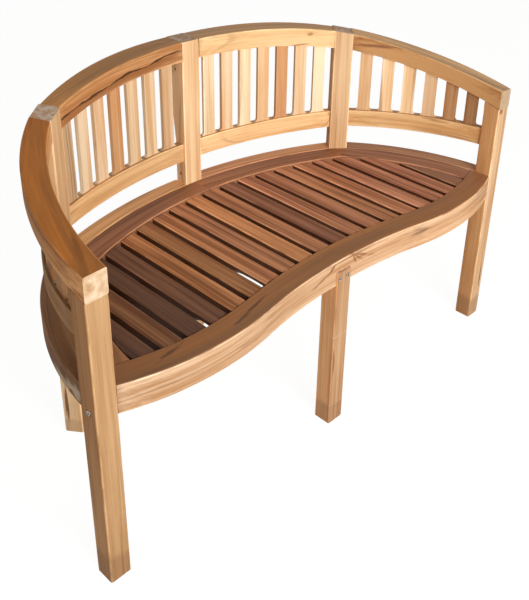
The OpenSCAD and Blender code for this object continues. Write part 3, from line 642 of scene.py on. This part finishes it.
left_arm_teak = teak(
    "side rail teak", (0.80, 0.46, 0.20), (0.43, 0.18, 0.057), (0.16, 0.055, 0.02), ring=0.010,
    top_weather_and_light=0.92, top_weather_and_light_colour=(0.43, 0.147, 0.025), end_pale=1.2,
    marks=(((-0.595, -0.210, 0.69), (0.095, 0.0062, 0.03), (0, 0, 70), (0.23, 0.075, 0.016)),))
split_teak = teak(
    "split rail teak", (0.80, 0.46, 0.215), (0.50, 0.22, 0.077), (0.12, 0.045, 0.018),
    ring=0.010, top_weather_and_light=0.9, top_weather_and_light_colour=(0.52, 0.25, 0.085), opened=open_split)
right_arm_teak = teak(
    "right arm teak", (0.62, 0.335, 0.137), (0.40, 0.165, 0.053), (0.14, 0.05, 0.02),
    ring=0.010, top_weather_and_light=0.85, top_weather_and_light_colour=(0.88, 0.54, 0.27), end_pale=1.8,
    marks=(((0.590, -0.255, 0.655), (0.012, 0.02, 0.006), unturned, knot),
           ((0.478, 0.063, 0.736), (0.050, 0.09, 0.006), unturned, (0.26, 0.11, 0.045))))
for node, finish, slot, way, tone, seed in (
        ("top_rail_side_left", left_arm_teak, "side_rail_teak", side_left, (0.0, 0.5), 101),
        ("top_rail_back_left", split_teak, "back_rail_teak", back_left, (0.0, 0.0), 102),
        ("top_rail_back_right", back_teak, "back_rail_teak", back_right, (0.1, 0.0), 103),
        ("top_rail_side_right", right_arm_teak, "side_rail_teak", side_right, (0.0, 0.0), 104)):
    worn_boards(node, finish, way, [tone], arris=0.003, follow=0.75, seed=seed)


# Bolts and plugs
# Bright steel bolts hold the middle and front legs to the rails, with painted shade in the
# socket at the middle of their heads. Small teak plugs, set a little deep, close the screw holes
# in the back legs.

steel = bpy.data.materials.new("bolt steel")
steel.use_nodes = True
steel_shader = steel.node_tree.nodes["Principled BSDF"]
where = Wire(steel.node_tree).node("TexCoord", {}, {}, "Object")
smears = where.cloud((180, 180, 180), 3.0)
bright, dull, painted_socket_shade = (0.88, 0.86, 0.82), (0.58, 0.55, 0.50), (0.10, 0.07, 0.05)
socket_inside, socket_rim = 0.0018, 0.0027
grey = smears.step(0.3, 0.7).mixed(bright, dull)
folded = where.node("VectorMath", {"operation": "ABSOLUTE"}, {0: where})
for node, axis in (("leg_bolts", 0), ("middle_leg_bolts", 1)):
    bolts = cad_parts[node]
    points = [Vector([abs(number) for number in vert.co]) for vert in bolts.data.vertices]
    outermost = max(point[axis] for point in points)
    head = [point for point in points if point[axis] > outermost - 1e-5]
    hub = sum(head, Vector()) / len(head)
    off = where.node("VectorMath", {"operation": "DISTANCE"}, {0: folded, 1: hub}, "Value")
    # Painted shade in the socket at the middle of each head.
    grey = off.step(socket_inside, socket_rim).mixed(painted_socket_shade, grey)
    for holder in bolts.material_slots:
        holder.material = steel
steel.node_tree.links.new(grey.socket, steel_shader.inputs["Base Color"])
steel.node_tree.links.new((0.24 + smears * 0.3).socket, steel_shader.inputs["Roughness"])
steel_shader.inputs["Metallic"].default_value = 1.0
worn_boards("leg_plugs", left_leg_teak, (0, 1, 0), [(-0.6, 0.4)], arris=0.0004,
            seed=111)


# Studio
# A wide pale floor, which looks white and keeps the sofa's shadow, and one soft light from the
# front left, with a little light from all round.

white, half_floor = (1, 1, 1), 7.0
grid = bmesh.new()
bmesh.ops.create_grid(grid, x_segments=1, y_segments=1, size=half_floor)
floor_mesh = bpy.data.meshes.new("floor")
grid.to_mesh(floor_mesh)
grid.free()
floor = bpy.data.objects.new("floor", floor_mesh)
bpy.context.collection.objects.link(floor)
paint = bpy.data.materials.new("floor paint")
paint.use_nodes = True
floor_mesh.materials.append(paint)
paint_shader = paint.node_tree.nodes["Principled BSDF"]
paint_shader.inputs["Base Color"].default_value = (0.86, 0.86, 0.86, 1)
paint_shader.inputs["Roughness"].default_value = 0.95
paint_start = Wire(paint.node_tree)
seen = paint_start.node("LightPath", {}, {}, "Is Camera Ray")
glow = paint_start.node("Emission", {}, {"Color": white, "Strength": 1.10})
painted = Wire(paint.node_tree, paint_shader.outputs["BSDF"])
surface = paint_start.node("MixShader", {}, {0: seen * 0.86, 1: painted, 2: glow})
paint.node_tree.links.new(surface.socket,
                          paint.node_tree.nodes["Material Output"].inputs["Surface"])

world = bpy.data.worlds.new("studio")
bpy.context.scene.world = world
world.use_nodes = True
sky = Wire(world.node_tree)
shown = (sky.node("LightPath", {}, {}, "Is Camera Ray")
         + sky.node("LightPath", {}, {}, "Is Glossy Ray")
         + sky.node("LightPath", {}, {}, "Is Transmission Ray")).held()
backdrop = sky.node("Background", {}, {"Color": white, "Strength": 1.0})
fill = sky.node("Background", {}, {"Color": (1.0, 0.90, 0.80), "Strength": 0.28})
air = sky.node("MixShader", {}, {0: shown, 1: fill, 2: backdrop})
world.node_tree.links.new(air.socket, world.node_tree.nodes["World Output"].inputs["Surface"])

lamp = bpy.data.lights.new("key softbox", "AREA")
lamp.shape = "RECTANGLE"
lamp.size, lamp.size_y = 1.7, 1.3
lamp.energy = 86
softbox = bpy.data.objects.new("key softbox", lamp)
bpy.context.collection.objects.link(softbox)
softbox.location = (-0.85, -2.9, 1.35)
lit = Vector((0, 0, 0.5))
softbox.rotation_euler = (lit - softbox.location).to_track_quat("-Z", "Y").to_euler()


# Camera
# It stands where the photograph was taken from, to the front left and above the sofa, a little
# tilted. Its shift is the photograph's crop.

lens = bpy.data.cameras.new("camera")
lens.lens = 49.71
lens.sensor_width = 36.0
lens.shift_x = -0.0772
lens.shift_y = -0.2037
lens.clip_end = 50
camera = bpy.data.objects.new("camera", lens)
bpy.context.collection.objects.link(camera)
stand = Vector((-1.1756, -1.1976, 1.3734))
bearing, dip, lean = math.radians(48.347), math.radians(26.311), math.radians(-2.578)
ahead = Vector((math.sin(bearing) * math.cos(dip), math.cos(bearing) * math.cos(dip),
                -math.sin(dip)))
level = Vector((math.cos(bearing), -math.sin(bearing), 0))
below = ahead.cross(level)
right = math.cos(lean) * level + math.sin(lean) * below
down = -math.sin(lean) * level + math.cos(lean) * below
camera.matrix_world = Matrix((
    (right.x, -down.x, -ahead.x, stand.x),
    (right.y, -down.y, -ahead.y, stand.y),
    (right.z, -down.z, -ahead.z, stand.z),
    (0, 0, 0, 1)))
bpy.context.scene.camera = camera
bpy.context.scene.view_settings.view_transform = "Standard"
